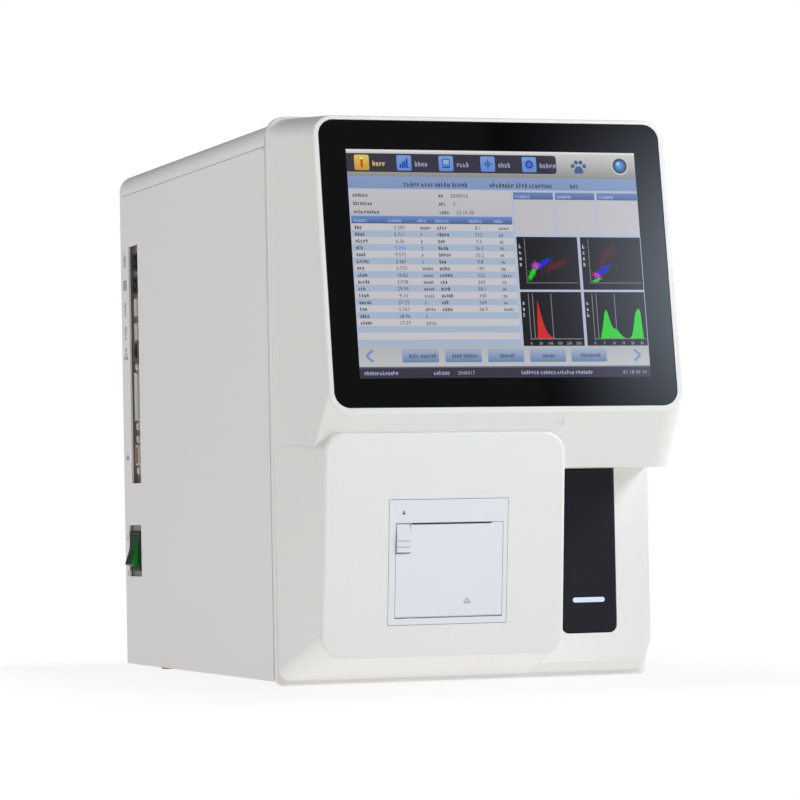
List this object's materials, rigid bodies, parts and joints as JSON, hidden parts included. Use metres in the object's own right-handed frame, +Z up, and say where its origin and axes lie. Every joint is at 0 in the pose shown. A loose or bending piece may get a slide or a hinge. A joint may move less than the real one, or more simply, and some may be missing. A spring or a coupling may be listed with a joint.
{
  "type": "blood analyzer",
  "caption": "Bench veterinary blood analyzer: tilted touch screen over a boss with a receipt printer, tilt-out sample door, sheet metal cabinet with side ports and switch.",
  "frame": {"origin": "middle of the footprint, at the level of the feet", "axes": "+X to the operator's right, +Y to the rear, +Z up; the screen faces -Y"},
  "size_m": [0.2826, 0.5254, 0.397],
  "materials": {
    "moulding_white": "moulded, fine satin grain",
    "cabinet_paint": "fine textured powder coat",
    "zinc_sheet": "zinc plated sheet",
    "screen_glass": "glossy, black printed border",
    "display_frame": "satin",
    "printer_white": "satin moulding",
    "door_black": "satin black",
    "black_plastic": "satin black",
    "black_rubber": "matt",
    "steel": "bright machined",
    "chrome": "polished",
    "brass": "machined",
    "aluminium": "machined",
    "paper": "wound paper",
    "light_bar": "frosted clear, pale blue when lit",
    "port_shell": "tin plated",
    "rocker_green": "translucent green, ribbed",
    "hose_plastic": "natural white",
    "board_green": "solder mask over glass fibre",
    "clear_acrylic": "clear"
  },
  "bodies": {
    "cabinet": {"front_moulding": "moulding_white", "screen_glass": "screen_glass", "display_module": "display_frame", "display_bracket": "zinc_sheet", "printer_housing": "printer_white", "printer_hinge_pin": "steel", "lever_pin": "steel", "tear_bar": "steel", "print_head": "black_plastic", "door_hinge_pin": "steel", "bay_liner": "black_plastic", "probe_tower": "zinc_sheet", "probe_rail": "steel", "probe_motor": "black_plastic", "base_pan": "zinc_sheet", "left_side_panel": "cabinet_paint", "right_side_panel": "cabinet_paint", "top_cover": "cabinet_paint", "rear_panel": "cabinet_paint", "feet": "black_rubber", "panel_screws": "steel", "connector_tray": "cabinet_paint", "round_ports": "black_plastic", "usb_ports": "port_shell", "network_port": "port_shell", "parallel_port": "port_shell", "serial_port": "port_shell", "port_screws": "steel", "switch_plate": "cabinet_paint", "switch_housing": "black_plastic", "mains_inlet": "black_plastic", "ground_terminal": "brass", "hose_ports": "hose_plastic", "fan_frame": "black_plastic", "fan_grille": "chrome", "divider_plate": "zinc_sheet", "main_board": "board_green", "board_chips": "aluminium", "board_standoffs": "brass", "power_supply": "zinc_sheet", "valve_manifold": "clear_acrylic", "solenoid_valves": "steel", "reaction_chambers": "hose_plastic", "optical_bench": "aluminium", "syringe_frame": "aluminium", "syringe_barrel": "clear_acrylic", "vacuum_pump": "black_plastic", "waste_chamber": "hose_plastic"},
    "sample_door": {"sample_door": "door_black", "status_light_bar": "light_bar", "tube_holder": "door_black"},
    "paper_door": {"printer_flap": "printer_white"},
    "platen": {"platen_roller": "black_rubber"},
    "paper_roll": {"paper_roll": "paper"},
    "printer_lever": {"printer_lever": "printer_white"},
    "power_rocker": {"switch_rocker": "rocker_green"},
    "probe_carriage": {"probe_carriage": "black_plastic", "sample_probe": "chrome"},
    "syringe_plunger": {"syringe_plunger": "steel"},
    "fan_rotor": {"fan_rotor": "black_plastic"}
  },
  "joints": [
    {"name": "sample_door_tilt", "type": "hinge", "parent": "cabinet", "child": "sample_door", "pos_m": [0.09299, -0.16826, 0.0374], "axis": [1, 0, 0], "range_deg": [0, 30]},
    {"name": "paper_door_hinge", "type": "hinge", "parent": "cabinet", "child": "paper_door", "pos_m": [-0.03751, -0.23881, 0.04981], "axis": [1, 0, 0], "range_deg": [0, 80]},
    {"name": "platen_spin", "type": "hinge", "parent": "paper_door", "child": "platen", "pos_m": [-0.03751, -0.24034, 0.1076], "axis": [1, 0, 0], "continuous": true},
    {"name": "paper_roll_spin", "type": "hinge", "parent": "cabinet", "child": "paper_roll", "pos_m": [-0.03751, -0.21636, 0.07496], "axis": [1, 0, 0], "continuous": true},
    {"name": "printer_lever_pull", "type": "hinge", "parent": "cabinet", "child": "printer_lever", "pos_m": [-0.03751, -0.24383, 0.10917], "axis": [-1, 0, 0], "range_deg": [0, 28], "stiffness_Nm_per_rad": 0.03},
    {"name": "power_rocker_switch", "type": "hinge", "parent": "cabinet", "child": "power_rocker", "pos_m": [-0.13461, 0.22024, 0.0933], "axis": [0, -1, 0], "range_deg": [0, 28]},
    {"name": "probe_down", "type": "slide", "parent": "cabinet", "child": "probe_carriage", "axis": [0, 0, -1], "range_m": [0, 0.09]},
    {"name": "syringe_stroke", "type": "slide", "parent": "cabinet", "child": "syringe_plunger", "axis": [0, 0, -1], "range_m": [0, 0.03]},
    {"name": "fan_spin", "type": "hinge", "parent": "cabinet", "child": "fan_rotor", "pos_m": [0.07779, 0.24724, 0.301], "axis": [0, 1, 0], "continuous": true}
  ],
  "couplings": [
    {"joint": "paper_roll_spin", "follows": "platen_spin", "ratio": -0.2105}
  ]
}
